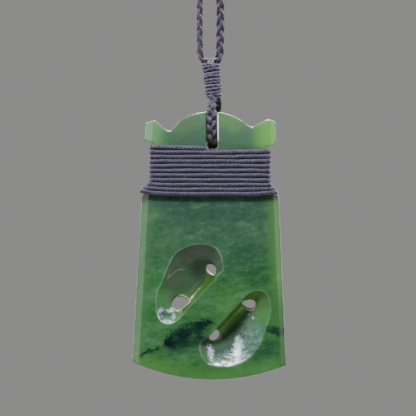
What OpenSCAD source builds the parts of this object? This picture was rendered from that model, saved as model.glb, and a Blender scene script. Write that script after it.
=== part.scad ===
// Greenstone adze pendant (toki): a ground stone blade with a pierced twist carved in it, lashed
// round its neck with waxed thread and hung on a plaited cord that goes over the head.
// X runs to the right of the carved face, Y away from it and Z up. The origin is where the loop
// of cord hangs, at its inner top, and the stone's cutting edge is at its lowest point.

/* [Stone] */
// Height of the stone from the cutting edge to the crest
stone_h = 67.25; // [66.5:0.05:68.5]
// Thickness of the stone where it is thickest
stone_t = 7.2; // [6.8:0.1:8]
// How much thinner the stone is at its crest, all taken off the back
back_taper = 1.5; // [1:0.1:2]
// Width across the two corners of the cutting edge
edge_w = 38.85; // [38:0.05:40]
// Radius of the curved cutting edge
edge_r = 47.8; // [46:0.1:50]
// Thickness of the land along the cutting edge
edge_land = 0.5; // [0.3:0.1:1]
// Length of the bevel ground on the back to make the cutting edge
edge_bevel = 11; // [8:0.5:13]
// Width of the bevel along the left side of the carved face
left_bevel = 2.1; // [1.5:0.1:2.5]
// Width of the bevel along the right side of the carved face
right_bevel = 1.6; // [1:0.1:2]
// Half-width of the neck that the lashing lies in
neck_half = 14; // [13.8:0.05:14]

/* [Carving] */
// Width of the raised band that crosses the carving
band_w = 8.6; // [8:0.1:9]
// Angle of the band above the horizontal
band_angle = 47.5; // [44:0.5:50]
// Depth of the two scoops beside the band
scoop_depth = 4.7; // [4:0.1:5.2]
// Width of the strand that passes under the band, between each pair of pierced holes
strand_w = 9.3; // [9:0.1:9.6]

/* [Lashing] */
// Diameter of the waxed thread
thread_d = 1.05; // [0.9:0.05:1.05]
// Height from one turn of thread to the next
thread_pitch = 1.15; // [1.15:0.01:1.16]

/* [Bail] */
// Width of the braid that the stone hangs on
bail_w = 2.7; // [2.4:0.1:2.8]
// Thickness of that braid
bail_t = 2.1; // [1.9:0.05:2.1]
// Diameter of the hole drilled through the stone for it
bail_hole_d = 3.1; // [3:0.1:3.4]
// Depth of the groove that it lies in, front and back
groove_depth = 1; // [0.8:0.1:1]

/* [Sleeve] */
// Number of turns of thread whipped round the cords
sleeve_turns = 11; // [10:1:12]
// Diameter of the sleeve at its top
sleeve_top_d = 4.65; // [4.5:0.05:4.8]
// Diameter of the sleeve at its bottom
sleeve_low_d = 4.1; // [4:0.05:4.3]

/* [Neck cord] */
// Diameter of the plaited neck cord
cord_d = 2.1; // [1.8:0.1:2.2]

/* [Hidden] */
$fn = 48;

// Heights above the cutting edge of the top of the cord's loop and of the origin under it
loop_top = 331;
origin_z = loop_top - cord_d / 2;

// The stone's faces. The front is flat and the back leans in above the bevel.
front_y = -stone_t / 2;
back_lean_z = 14;
function back_y(z) = stone_t / 2 - back_taper * max(0, z - back_lean_z) / (stone_h - back_lean_z);

// The two sides are straight from the cutting edge to the ears: where they would reach the height
// of the edge's lowest point, beyond half its width, and how fast they close in
edge_mid_x = 0.7;
side_foot_left = -0.555;
side_foot_right = -0.105;
side_slope_left = 0.0577;
side_slope_right = 0.0431;
function left_x(z) = -edge_w / 2 + side_foot_left + side_slope_left * z;
function right_x(z) = edge_w / 2 + side_foot_right - side_slope_right * z;
// Each side has a bevel on the face and a steeper, narrow one outside it: width, depth
left_facets = [[left_bevel, 1], [0.5, 2]];
right_facets = [[right_bevel, 0.6], [0.35, 1.1]];

function arc(x, z, r, from, to, steps) =
    [for (i = [0:steps]) let (a = from + (to - from) * i / steps) [x + r * cos(a), z + r * sin(a)]];

// The crest is one wide arch between two ears, with a rounded dip at its left and a sharp one at its right
arch_r = 14.4;
arch_x = 0.1;
ear_top_left = [[-16.3, stone_h - 2.9], [-13.8, stone_h - 2.1]];
dip_left = arc(-10.35, stone_h - 3.4, 1.4, 226, 322, 6);
arch = arc(arch_x, stone_h - arch_r, arch_r, 122, 54, 16);
ear_top_right = [[9.3, stone_h - 3.4], [10.5, stone_h - 3.95], [14.2, stone_h - 1.95],
    [15.25, stone_h - 2.05], [16.35, stone_h - 2.5]];

// Below the ears the sides step in to the neck, then run out again over the shoulders
ear_low_left = 59.9;
ear_low_right = 58.5;
shoulder_left = [[-17.35, 46.1], [-16.4, 46.62], [-15.62, 47.72], [-14.72, 48.82], [-14.37, 49.5],
    [-neck_half, 50.3]];
shoulder_right = [[neck_half, 50.2], [14.42, 48.8], [15.12, 47.65], [15.6, 46.4], [16.4, 46.15],
    [17.3, 46.45]];

outline = concat(
    [[left_x(-1), -1]],
    shoulder_left,
    [[-neck_half, ear_low_left - 0.7], [-14.8, ear_low_left - 0.5], [left_x(ear_low_left), ear_low_left]],
    ear_top_left,
    dip_left,
    arch,
    ear_top_right,
    [[right_x(60), 60], [16.2, ear_low_right + 0.1], [neck_half, ear_low_right]],
    shoulder_right,
    [[right_x(-1), -1]]);

// Side view of the stone turned about the middle of the cutting edge's arc: the edge land, a small
// chamfer in front of it and the long bevel behind it
edge_chamfer = 0.35;
edge_profile = [[0, front_y], [edge_r - edge_chamfer, front_y], [edge_r, front_y + edge_chamfer],
    [edge_r, front_y + edge_chamfer + edge_land], [edge_r - edge_bevel, stone_t / 2], [0, stone_t / 2]];

// The bail's hole, and the grooves that go up from it. The one behind leans to the right.
bail_x = 0.6;
bail_z = 59;
groove_w = 3.2;
front_groove_x = 0.4;
back_groove_lean = 0.12;
function back_groove_x(z) = bail_x + back_groove_lean * (z - bail_z);

// The carving is laid out along the band (first number) and across it (second number), from here
band_at = [0.35, 17.95];
strand_mid = 1.75;
strand_low = strand_mid - strand_w / 2;
strand_high = strand_mid + strand_w / 2;
// Half a turn about this place along the band carries the upper scoop to the lower one
turn_at = 0.57;
// The scoop's outline is the hull of four circles: along the band, across it from its edge, radius
SCOOP_CIRCLES = [[7.3, 4.4, 4.3], [-8.6, 3, 2.85], [-4.6, 3.9, 5.4], [2.6, 3.4, 7.9]];
scoop_steps = 40;
// The scoop narrows to its deepest place, by these shares of its outline
SCOOP_LEVELS = [1.04, 0.94, 0.85, 0.72, 0.55, 0.35, 0.15];
scoop_curve = 1.7;
// That place is under the strand, this far from the band's edge
scoop_deep_at = 1.1;
// The pierced holes: side of the band, place along it, distance from its edge, radius
HOLES = [[1, 6.75, 2.3, 1.5], [1, -4.4, 2.35, 1.85], [-1, 7, 2.1, 1.5], [-1, -4.5, 0.7, 1.45]];
hole_wall = 0.3;

// The lashing lies this far off the stone, measured to the middle of the thread
lash_off = thread_d / 2 + 0.1;
// The turns, from the top one down: height above the even pitch at the left end and at the right
// end, then how far out of the neck each end lies over the shoulders
TURNS = [[0.07, 0.6, 0, 0], [0, 0, 0, 0], [0, 0, 0, 0], [0, 0, 0, 0], [0, 0, 0, 0], [0.02, 0, 0, 0],
    [0.05, 0, 0, 0], [0.1, 0, 0.55, 0.35], [0.15, 0, 1.7, 1.05], [0.25, 0, 2.3, 1.65]];
lash_top = 57.2;
lash_end_z = 58.4;
lash_end_x = -1.6;
lash_start = [-10, 46.6];
thread_sides = 8;

// Route of the bail, from the sleeve down the front, through the stone and up the back
bail_gap = 0.1;
back_floor_y = back_y(63) - groove_depth;
front_leg_y = front_y + groove_depth - bail_gap - bail_t / 2;
back_leg_y = back_floor_y + bail_gap + bail_t / 2;
bail_bend = 1.6;
BAIL_ROUTE = concat(
    [[0.7, -1.15, 70.5], [0.7, -1.5, 69.7], [0.55, -2.5, 68.8], [0.4, -3.4, 68],
    [0.35, front_leg_y, 67.2], [0.37, front_leg_y, 66], [0.45, front_leg_y, 64.2],
    [0.55, front_leg_y, 62.3]],
    [for (a = [180:-22.5:90]) [bail_x, front_leg_y + bail_bend * (1 + cos(a)),
        bail_z + bail_bend * (1 - sin(a))]],
    [for (a = [90:-22.5:0]) let (z = bail_z + bail_bend * (1 - sin(a)))
        [back_groove_x(z), back_leg_y - bail_bend * (1 - cos(a)), z]],
    [for (z = [62.3, 64.2, 66, 67.4]) [back_groove_x(z), back_leg_y, z]],
    [[1.75, 2.15, 68.2], [1.85, 1.6, 69.1], [1.85, 1.25, 69.8], [1.85, 1.15, 70.5]]);

// The sleeve leans to the right as it goes down
sleeve_low = [1, 70.8];
sleeve_top = [0.25, 79.2];
sleeve_h = norm(sleeve_top - sleeve_low);
sleeve_lean = atan2(sleeve_top[0] - sleeve_low[0], sleeve_top[1] - sleeve_low[1]);
sleeve_pitch = sleeve_h / sleeve_turns;
sleeve_core_in = 0.35;
// The cut ends of the whipping stand in front, between the two cords: place from the sleeve's
// middle, height, how deep they start and how far they lean
THREAD_ENDS = [[-0.35, -8], [0.2, 12]];
thread_end_y = -1.15;
thread_end_h = 1.9;
thread_end_in = 0.6;
thread_end_d = 0.7;

// Route of each half of the neck cord, from the sleeve up: distance from the middle, height
CORD_FOOT_LEFT = [[-1.1, 79.35], [-1.5, 80], [-2.25, 81.2], [-2.5, 83.5]];
CORD_FOOT_RIGHT = [[1.45, 79.5], [1.7, 80.1], [2.3, 81.2], [2.5, 83.5]];
CORD_ROUTE = [[2.6, 90], [2.6, 97], [3.2, 104], [6.7, 114.5], [14.8, 132.5], [23.5, 152],
    [32.4, 172], [41.3, 192], [50.2, 212], [58, 229.5], [63.5, 243], [66.5, 256], [66.7, 270],
    [63.6, 285], [57, 299], [47.5, 311.3], [35, 321.1], [21, 327.6], [10, 330.3], [0, loop_top]];

function unit(v) = v / norm(v);

// A point between the second and the third of four, on a smooth curve through them all
function between(a, b, c, d, t) =
    0.5 * (2 * b + (c - a) * t + (2 * a - 5 * b + 4 * c - d) * t * t + (3 * b - a - 3 * c + d) * t * t * t);

// The same points with one more between each pair
function smooth(p) = concat(
    [for (i = [0:len(p) - 2], t = [0, 0.5])
        between(p[max(i - 1, 0)], p[i], p[i + 1], p[min(i + 2, len(p) - 1)], t)],
    [p[len(p) - 1]]);

// A closed tube of oval section along a list of points. The width lies square to the direction
// flat, and both ends are cut level with their own end_dir.
module tube(points, width, thick, flat, sides, start_dir, end_dir) {
    n = len(points);
    dirs = [for (i = [0:n - 1])
        i == 0 ? start_dir : i == n - 1 ? end_dir : unit(points[i + 1] - points[i - 1])];
    verts = [for (i = [0:n - 1])
        let (across = unit(cross(dirs[i], flat)), up = unit(cross(across, dirs[i])))
        for (k = [0:sides - 1]) let (a = 360 * (k + 0.5) / sides)
            points[i] + across * cos(a) * thick / 2 + up * sin(a) * width / 2];
    walls = [for (i = [0:n - 2], k = [0:sides - 1]) let (l = (k + 1) % sides)
        [i * sides + k, i * sides + l, (i + 1) * sides + l, (i + 1) * sides + k]];
    split = concat([for (w = walls) [w[2], w[1], w[0]]], [for (w = walls) [w[3], w[2], w[0]]]);
    ends = [[for (k = [0:sides - 1]) k], [for (k = [sides - 1:-1:0]) (n - 1) * sides + k]];
    polyhedron(points = verts, faces = concat(split, ends), convexity = 10);
}

module at_band() {
    translate([band_at[0], 0, band_at[1]]) rotate([0, -band_angle, 0]) children();
}

// One side of the band, with its edge as the line that the second number is measured from
module beside_band(side) {
    at_band() translate([turn_at, 0, 0]) rotate([0, side > 0 ? 0 : 180, 0])
        translate([0, 0, band_w / 2]) children();
}

function scoop_edge(a) =
    let (reach = [for (c = SCOOP_CIRCLES) c[0] * cos(a) + c[1] * sin(a) + c[2]])
    let (c = SCOOP_CIRCLES[search(max(reach), reach)[0]])
    [c[0] + c[2] * cos(a), max(0, c[1] + c[2] * sin(a))];

// The tool that cuts a scoop: deepest beside the band, under the strand, and shallow outwards
module scoop(deepest) {
    n = scoop_steps;
    rim = [for (i = [0:n - 1]) scoop_edge(360 * (i + 0.5) / n)];
    rings = [for (s = SCOOP_LEVELS) [for (p = rim) let (q = deepest + (p - deepest) * s)
        [q[0], front_y + scoop_depth * (1 - pow(s, scoop_curve)), q[1]]]];
    lid = [for (p = rings[0]) [p[0], front_y - 2, p[2]]];
    bottom = [deepest[0], front_y + scoop_depth, deepest[1]];
    verts = concat(lid, [for (r = rings) each r], [bottom]);
    levels = len(SCOOP_LEVELS) + 1;
    walls = [for (i = [0:levels - 2], k = [0:n - 1]) let (l = (k + 1) % n)
        [i * n + k, i * n + l, (i + 1) * n + l, (i + 1) * n + k]];
    split = concat([for (w = walls) [w[0], w[1], w[2]]], [for (w = walls) [w[0], w[2], w[3]]]);
    floor_fan = [for (k = [0:n - 1]) [(levels - 1) * n + k, (levels - 1) * n + (k + 1) % n, levels * n]];
    polyhedron(points = verts, faces = concat([[for (k = [n - 1:-1:0]) k]], split, floor_fan),
        convexity = 4);
}

// A drilled hole cut straight where it meets the strand and the band
module pierced_hole(h) {
    side = h[0];
    along = side * (h[1] - turn_at);
    stop_low = side * (strand_low - turn_at);
    stop_high = side * (strand_high - turn_at);
    outer = h[1] > strand_mid ? stop_high : stop_low;
    away = along > outer ? 0 : -20;
    beside_band(side) rotate([90, 0, 0]) linear_extrude(height = 20, center = true) intersection() {
        translate([along, h[2]]) circle(r = h[3]);
        translate([outer + away, hole_wall]) square([20, 20]);
    }
}

// A long wedge that takes the front corner off one side, given the side's foot, slope and sizes
module side_bevel(foot_x, slope, width, depth) {
    out = sign(foot_x);
    translate([foot_x, front_y, 0]) rotate([0, -out * atan(slope), 0])
        translate([0, 0, -2]) linear_extrude(height = stone_h + 6)
            polygon([[-out * width, 0], [-out * width, -1], [out * 2, -1], [out * 2, depth], [0, depth]]);
}

module bail_way() {
    translate([bail_x, 0, bail_z]) rotate([90, 0, 0]) cylinder(d = bail_hole_d, h = 20, center = true);
    translate([front_groove_x - groove_w / 2, front_y - 5, bail_z]) cube([groove_w, groove_depth + 5, 20]);
    translate([0, back_floor_y + 5, 0]) rotate([90, 0, 0]) linear_extrude(height = 5)
        polygon([for (p = [[-1, bail_z], [1, bail_z], [1, stone_h + 3], [-1, stone_h + 3]])
            [back_groove_x(p[1]) + p[0] * groove_w / 2, p[1]]]);
}

module stone_body() {
    intersection() {
        rotate([90, 0, 0]) linear_extrude(height = stone_t, center = true) polygon(outline);
        translate([edge_mid_x, 0, edge_r]) rotate([-90, 0, 0]) rotate_extrude($fn = 180)
            polygon(edge_profile);
        translate([0, stone_t / 2, back_lean_z])
            rotate([atan(back_taper / (stone_h - back_lean_z)), 0, 0])
                translate([-30, -20, -30]) cube([60, 20, 100]);
    }
}

module stone() {
    color("seagreen") translate([0, 0, -origin_z]) difference() {
        stone_body();
        for (f = left_facets) side_bevel(left_x(0), side_slope_left, f[0], f[1]);
        for (f = right_facets) side_bevel(right_x(0), side_slope_right, f[0], f[1]);
        for (side = [1, -1]) beside_band(side) scoop([side * (strand_mid - turn_at), scoop_deep_at]);
        for (h = HOLES) pierced_hole(h);
        bail_way();
    }
}

// Heights and reaches of the turns, with the half turn above the others as number -1
function turn_z(k) = lash_top - thread_pitch * k;
function turn_left_z(k) = k < 0 ? lash_end_z + 0.05 : turn_z(k) + TURNS[k][0];
function turn_right_z(k) = turn_z(k) + TURNS[k][1];
function turn_left_x(k) = -neck_half - lash_off - (k < 0 ? 0 : TURNS[k][2]);
function turn_right_x(k) = neck_half + lash_off + TURNS[k][3];

// A turn stays level over the front and lifts or drops only near its ends
function front_z(k, x) = let (t = pow(abs(x) / (x < 0 ? -turn_left_x(k) : turn_right_x(k)), 8))
    turn_z(k) * (1 - t) + (x < 0 ? turn_left_z(k) : turn_right_z(k)) * t;

// Round a corner of the stone, from one side to the next
function corner(x, y, z, from, to) =
    [for (i = [0:2]) let (a = from + (to - from) * i / 2) [x + lash_off * cos(a), y + lash_off * sin(a), z]];

function left_end(k) = let (x = turn_left_x(k) + lash_off, z = turn_left_z(k))
    concat(corner(x, back_y(z), z, 90, 180), corner(x, front_y, z, 180, 270));
function right_end(k) = let (x = turn_right_x(k) - lash_off, z = turn_right_z(k))
    concat(corner(x, front_y, z, 270, 360), corner(x, back_y(z), z, 0, 90));
function front_run(k) = [for (x = [-12, -8, 0, 8, 12]) [x, front_y - lash_off, front_z(k, x)]];

// Behind the stone each turn climbs to the next one over the left half
function back_run(k) = [for (t = [0.45, 0.6, 0.75, 0.9])
    let (s = min(1, max(0, (t - 0.45) / 0.5)), x = turn_right_x(k) * (1 - t) + turn_left_x(k - 1) * t)
    let (z = turn_right_z(k) + (turn_left_z(k - 1) - turn_right_z(k)) * s * s * (3 - 2 * s))
    [x, back_y(z) + lash_off, z]];

lash_path = concat(
    [[lash_start[0], back_y(lash_start[1]) + lash_off, lash_start[1]]],
    [for (k = [len(TURNS) - 1:-1:0]) each concat(left_end(k), front_run(k), right_end(k), back_run(k))],
    left_end(-1),
    [for (x = [-10, lash_end_x]) [x, front_y - lash_off, lash_end_z]]);

module lashing() {
    color("slategray") translate([0, 0, -origin_z])
        tube(lash_path, thread_d, thread_d, [0, 0, 1], thread_sides, [-1, 0, 0], [1, 0, 0]);
}

module bail_braid() {
    color("dimgray") translate([0, 0, -origin_z])
        tube(smooth(BAIL_ROUTE), bail_w, bail_t, [1, 0, 0], 10, [0, 0, -1], [0, 0, 1]);
}

module sleeve() {
    color("slategray") translate([sleeve_low[0], 0, sleeve_low[1] - origin_z])
        rotate([0, sleeve_lean, 0]) {
            rotate_extrude() {
                polygon([[0, 0], [sleeve_low_d / 2 - sleeve_core_in, 0],
                    [sleeve_top_d / 2 - sleeve_core_in, sleeve_h], [0, sleeve_h]]);
                for (i = [0:sleeve_turns - 1]) let (t = (i + 0.5) / sleeve_turns)
                    translate([(sleeve_low_d * (1 - t) + sleeve_top_d * t) / 2 - sleeve_pitch / 2,
                        sleeve_h * t]) circle(d = sleeve_pitch, $fn = 24);
            }
            for (e = THREAD_ENDS)
                translate([e[0], thread_end_y, sleeve_h - thread_end_in]) rotate([0, e[1], 0])
                    cylinder(d = thread_end_d, h = thread_end_h, $fn = 16);
        }
}

function xz(route, side) = [for (p = route) [side * p[0], 0, p[1]]];

module cord_half(route, end_dir) {
    color("dimgray") translate([0, 0, -origin_z])
        tube(smooth(route), cord_d, cord_d, [0, 1, 0], 8, [0, 0, 1], end_dir);
}

module neck_cord_left() {
    cord_half(concat(xz(CORD_FOOT_LEFT, 1), xz(CORD_ROUTE, -1)), [1, 0, 0]);
}

module neck_cord_right() {
    cord_half(concat(xz(CORD_FOOT_RIGHT, 1), xz(CORD_ROUTE, 1)), [-1, 0, 0]);
}

stone();
lashing();
bail_braid();
sleeve();
neck_cord_left();
neck_cord_right();
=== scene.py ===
from math import cos, pi, radians, sin
from random import Random

import bpy
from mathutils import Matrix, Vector
from mathutils.kdtree import KDTree


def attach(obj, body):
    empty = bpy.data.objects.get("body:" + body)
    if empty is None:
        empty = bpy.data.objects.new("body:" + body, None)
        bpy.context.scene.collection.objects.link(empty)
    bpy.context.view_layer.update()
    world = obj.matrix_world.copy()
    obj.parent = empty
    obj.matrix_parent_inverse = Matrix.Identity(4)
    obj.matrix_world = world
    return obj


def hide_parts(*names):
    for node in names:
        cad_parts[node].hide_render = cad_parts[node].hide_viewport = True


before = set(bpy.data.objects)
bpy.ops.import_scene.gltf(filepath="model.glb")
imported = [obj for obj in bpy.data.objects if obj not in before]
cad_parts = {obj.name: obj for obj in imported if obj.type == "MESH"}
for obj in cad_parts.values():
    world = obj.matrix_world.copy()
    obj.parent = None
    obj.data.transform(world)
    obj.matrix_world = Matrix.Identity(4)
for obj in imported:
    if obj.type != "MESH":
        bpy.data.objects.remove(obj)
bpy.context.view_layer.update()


# The studio: the pendant hangs before a long lens that looks straight at its carved face, well above
# a plain pale floor. The main soft box is above and in front, where the lower walls of the carving
# mirror it, a dim panel stands at each side, and the pale room, dark behind the camera, gives the rest.
mm = 0.001
# Heights are measured from the lowest point of the cutting edge; the loop hangs from here
hang = 329.95


def spot(x, y, z):
    """A place in millimetres right, back and up from the cutting edge, in the scene's metres."""
    return Vector((x * mm, y * mm, (z - hang) * mm))


view_width = 104
view_distance = 900
bpy.ops.object.camera_add(location=spot(-0.5, -3.6 - view_distance, 43.075), rotation=(pi / 2, 0, 0))
camera = bpy.context.object
camera.data.sensor_width = 36
camera.data.lens = camera.data.sensor_width * view_distance / view_width
camera.data.clip_start = 0.05
bpy.context.scene.camera = camera

bpy.ops.mesh.primitive_plane_add(size=8, location=spot(0, 0, -300))
floor = bpy.context.object
floor.name = "floor"
paper = bpy.data.materials.new("pale_paper")
paper.use_nodes = True
shader = paper.node_tree.nodes["Principled BSDF"]
shader.inputs["Base Color"].default_value = (0.7, 0.7, 0.69, 1)
shader.inputs["Roughness"].default_value = 0.9
floor.data.materials.append(paper)

room = bpy.data.worlds.new("pale_room")
room.use_nodes = True
nodes, links = room.node_tree.nodes, room.node_tree.links
walls = nodes["Background"]
walls.inputs["Color"].default_value = (0.98, 0.99, 1, 1)
# The end of the room behind the camera is dark, so the polished face shows its own colour
toward = nodes.new("ShaderNodeVectorMath")
toward.operation = "DOT_PRODUCT"
toward.inputs[1].default_value = (0, -1, 0)
links.new(nodes.new("ShaderNodeTexCoord").outputs["Generated"], toward.inputs[0])
dark_end = nodes.new("ShaderNodeMapRange")
dark_end.interpolation_type = "SMOOTHSTEP"
for name, value in (("From Min", 0.5), ("From Max", 0.88), ("To Min", 0.36), ("To Max", 0.04)):
    dark_end.inputs[name].default_value = value
links.new(toward.outputs["Value"], dark_end.inputs["Value"])
links.new(dark_end.outputs[0], walls.inputs["Strength"])
# Where it is looked at, the wall is as bright as the far floor, so no line parts them
far_wall = nodes.new("ShaderNodeBackground")
far_wall.inputs["Color"].default_value = (0.27, 0.27, 0.268, 1)
looked_at = nodes.new("ShaderNodeLightPath")
either = nodes.new("ShaderNodeMixShader")
links.new(looked_at.outputs["Is Camera Ray"], either.inputs["Fac"])
links.new(walls.outputs[0], either.inputs[1])
links.new(far_wall.outputs[0], either.inputs[2])
links.new(either.outputs[0], nodes["World Output"].inputs["Surface"])
bpy.context.scene.world = room


def soft_light(name, place, aim, width, height, power, tint=(1, 1, 1)):
    """A rectangular soft box that faces the point it is aimed at."""
    bpy.ops.object.light_add(type="AREA", location=place)
    box = bpy.context.object
    box.name = name
    box.rotation_euler = (Vector(aim) - Vector(place)).to_track_quat("-Z", "Y").to_euler()
    box.data.shape = "RECTANGLE"
    box.data.size, box.data.size_y = width, height
    box.data.energy = power
    box.data.color = tint
    box.data.spread = radians(70)


middle = spot(0, 0, 35)
soft_light("overhead", spot(-60, -430, 715), middle, 0.24, 0.2, 3.3)
soft_light("left_panel", spot(-620, -480, 60), middle, 0.5, 0.9, 0.22)
soft_light("right_panel", spot(560, -620, 120), middle, 0.5, 0.9, 0.28)
soft_light("left_rim", spot(-640, 220, 260), middle, 0.2, 0.7, 1, (1, 0.97, 0.95))
soft_light("right_rim", spot(640, 220, 260), middle, 0.2, 0.7, 1, (1, 0.97, 0.95))
soft_light("behind", spot(160, 560, 600), middle, 0.4, 0.4, 1.6)


# The blade: a slab of nephrite sawn and ground to an adze's shape, 67 mm tall. Its face is flat, its
# sides are bevelled, the back leans in towards the crest and is bevelled to the cutting edge.
front_y = -3.6
back_y = 3.6


def smooth(points, closed=False, steps=6):
    """A rounder line through the same points."""
    n = len(points)
    last = n if closed else n - 1
    line = []
    for i in range(last):
        a, b, c, d = (points[j % n if closed else min(max(j, 0), n - 1)] for j in range(i - 1, i + 3))
        for s in range(steps):
            t = s / steps
            line.append(tuple(
                0.5 * (2 * q + (r - p) * t + (2 * p - 5 * q + 4 * r - s_) * t * t
                       + (3 * q - p - 3 * r + s_) * t ** 3) for p, q, r, s_ in zip(a, b, c, d)))
    return line if closed else line + [tuple(points[-1])]


def arc(x, z, r, start, end, steps):
    return [(x + r * cos(radians(start + (end - start) * i / steps)),
             z + r * sin(radians(start + (end - start) * i / steps))) for i in range(steps + 1)]


def plate(name, outline, near, far):
    """A flat plate cut to an outline of (right, up), from one depth to another."""
    bpy.ops.object.select_all(action="DESELECT")
    bpy.ops.mesh.primitive_circle_add(vertices=len(outline), radius=0.02, fill_type="NGON")
    made = bpy.context.object
    made.name = name
    for vertex, (x, z) in zip(made.data.vertices, outline):
        vertex.co = spot(x, near, z)
    bpy.ops.object.mode_set(mode="EDIT")
    bpy.ops.mesh.select_all(action="SELECT")
    bpy.ops.mesh.extrude_region_move(TRANSFORM_OT_translate={"value": (0, (far - near) * mm, 0)})
    bpy.ops.mesh.select_all(action="SELECT")
    bpy.ops.mesh.normals_make_consistent(inside=False)
    bpy.ops.object.mode_set(mode="OBJECT")
    return made


def worked(body, kind, fewest, **settings):
    """Applies one modifier, and once more from the same mesh if it lost the body."""
    whole = body.data.copy()
    bpy.ops.object.select_all(action="DESELECT")
    bpy.context.view_layer.objects.active = body
    body.select_set(True)
    for attempt in range(4):
        step = body.modifiers.new(kind.lower(), kind)
        for name, value in settings.items():
            setattr(step, name, value)
        bpy.ops.object.modifier_apply(modifier=step.name)
        size = sum(body.dimensions)
        if len(body.data.vertices) >= fewest and size == size:
            break
        print("lost in", kind, "- made again")
        body.data = whole.copy()
    else:
        raise SystemExit(f"{body.name} was lost in a {kind} step")
    bpy.data.meshes.remove(whole)


def cut(body, tool, way="DIFFERENCE"):
    """Cuts one solid with another, and takes the tool away."""
    worked(body, "BOOLEAN", 900, operation=way, solver="EXACT", object=tool)
    bpy.data.objects.remove(tool)


def grind(body, at, outward):
    """Grinds a flat on a solid: all that lies outside the plane goes."""
    outward = Vector(outward).normalized()
    bpy.ops.mesh.primitive_cube_add(size=0.2, location=at + outward * 0.1,
                                    rotation=outward.to_track_quat("Z", "Y").to_euler())
    wheel = bpy.context.object
    bpy.ops.object.select_all(action="DESELECT")
    wheel.select_set(True)
    bpy.ops.object.transform_apply(location=True, rotation=True, scale=True)
    cut(body, wheel)


left_foot, left_slope = -19.98, 0.0577
right_foot, right_slope = 19.32, -0.0431
crest = 67.25
dip_left = arc(-10.35, 63.85, 1.4, 226, 322, 10)
arch = arc(0.1, 52.85, 14.4, 122, 54, 40)
blade_outline = (
    [(left_foot - left_slope, -1), (-17.35, 46.1)]
    + smooth([(-16.4, 46.62), (-15.62, 47.72), (-14.72, 48.82), (-14.37, 49.5), (-14, 50.3)], steps=3)
    + [(-14, 59.2), (-14.8, 59.4), (left_foot + left_slope * 59.9, 59.9), (-16.3, 64.35), (-13.8, 65.15)]
    + dip_left + arch
    + [(9.3, 63.85), (10.5, 63.3), (14.2, 65.3), (15.25, 65.2), (16.35, 64.75)]
    + [(right_foot + right_slope * 60, 60), (16.2, 58.6), (14, 58.5), (14, 50.2), (14.42, 48.8),
       (15.12, 47.65), (15.6, 46.4), (16.4, 46.15), (17.3, 46.45), (right_foot - right_slope, -1)])
stone = plate("greenstone_blade", blade_outline, front_y, back_y)

# The cutting edge is an arc; seen from the side it has a small rounded chamfer in front, a narrow
# land, and the long bevel of an adze behind
edge_r = 47.8
edge_middle = spot(0.7, 0, edge_r)
side_view = [(0, front_y)] + arc(edge_r - 0.35, front_y + 0.35, 0.35, -90, 0, 4) + [
    (edge_r, front_y + 0.85), (edge_r - 11, back_y), (0, back_y)]
bpy.ops.object.select_all(action="DESELECT")
bpy.ops.mesh.primitive_circle_add(vertices=len(side_view), radius=0.02, fill_type="NOTHING")
disc = bpy.context.object
for vertex, (r, y) in zip(disc.data.vertices, side_view):
    vertex.co = edge_middle + Vector((0, y * mm, -r * mm))
bpy.ops.object.mode_set(mode="EDIT")
bpy.ops.mesh.select_all(action="SELECT")
bpy.ops.mesh.spin(steps=360, angle=2 * pi, center=edge_middle, axis=(0, 1, 0))
bpy.ops.mesh.select_all(action="SELECT")
bpy.ops.mesh.remove_doubles(threshold=0.01 * mm)
bpy.ops.mesh.dissolve_degenerate(threshold=0.005 * mm)
bpy.ops.mesh.normals_make_consistent(inside=False)
bpy.ops.object.mode_set(mode="OBJECT")
cut(stone, disc, "INTERSECT")

# The back leans in above the bevel, and each side has a bevel on the face and a steeper one outside it
grind(stone, spot(0, back_y, 14), (0, 1, 1.5 / 53.25))
for foot, slope, out, width, depth in (
        (left_foot, left_slope, -1, 2.1, 1), (left_foot, left_slope, -1, 0.5, 2),
        (right_foot, right_slope, 1, 1.6, 0.6), (right_foot, right_slope, 1, 0.35, 1.1)):
    grind(stone, spot(foot, front_y + depth, 0), (out * depth, -width, -out * slope * depth))

# The carving: a raised band crosses the face at 47.5 degrees, with a scoop ground into the slab at
# each side of it. Each scoop is deepest beside the band, where two drilled holes leave a strand
# that seems to pass under the band.
band_at = (0.35, 17.95)
band_half = 4.3
along = (cos(radians(47.5)), sin(radians(47.5)))
half_turn_at = 0.57
scoop_depth = 4.7
scoop_rims = {
    1: [(8.6, 0), (9.9, 1.6), (10.9, 3.1), (11.4, 5.2), (10.7, 7.25), (9.7, 8.5), (7.2, 10.5), (3.8, 11.7),
        (0.4, 11.05), (-3.9, 9.5), (-7.1, 8.3), (-10.2, 5.8), (-11.1, 4.2), (-11.4, 2.4), (-10.7, 1.1),
        (-9.2, 0.1), (-7, 0), (0, 0), (7, 0)],
    -1: [(8.9, -0.4), (10, 0.4), (11.1, 2), (11.6, 3.6), (11.2, 5.3), (9, 8.2), (7.15, 9.6), (4.8, 10.7),
         (1.65, 11.1), (-1.3, 10.6), (-3.6, 9.7), (-6.7, 8.4), (-9.5, 6.7), (-11, 4.8), (-11.55, 3), (-10.7, 1.3),
         (-9.2, 0.2), (-7, 0), (0, 0), (7, -0.2)]}
deepest = {1: (1.18, 1.1), -1: (-1.18, 1.1)}


def carved(side, u, n):
    """Right and up, from the place along the band and away from its edge, on one side of it."""
    u, n = half_turn_at + side * u, side * (band_half + n)
    return band_at[0] + u * along[0] - n * along[1], band_at[1] + u * along[1] + n * along[0]


# The upper-left scoop ends in a smaller round bowl at its lower tip
bpy.ops.mesh.primitive_uv_sphere_add(segments=64, ring_count=48, radius=2.6 * mm, scale=(1, 0.92, 0.74),
                                     location=spot(-10.4, front_y - 0.4, 16.1))
ball = bpy.context.object
bpy.ops.object.transform_apply(location=True, rotation=True, scale=True)
cut(stone, ball)

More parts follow.
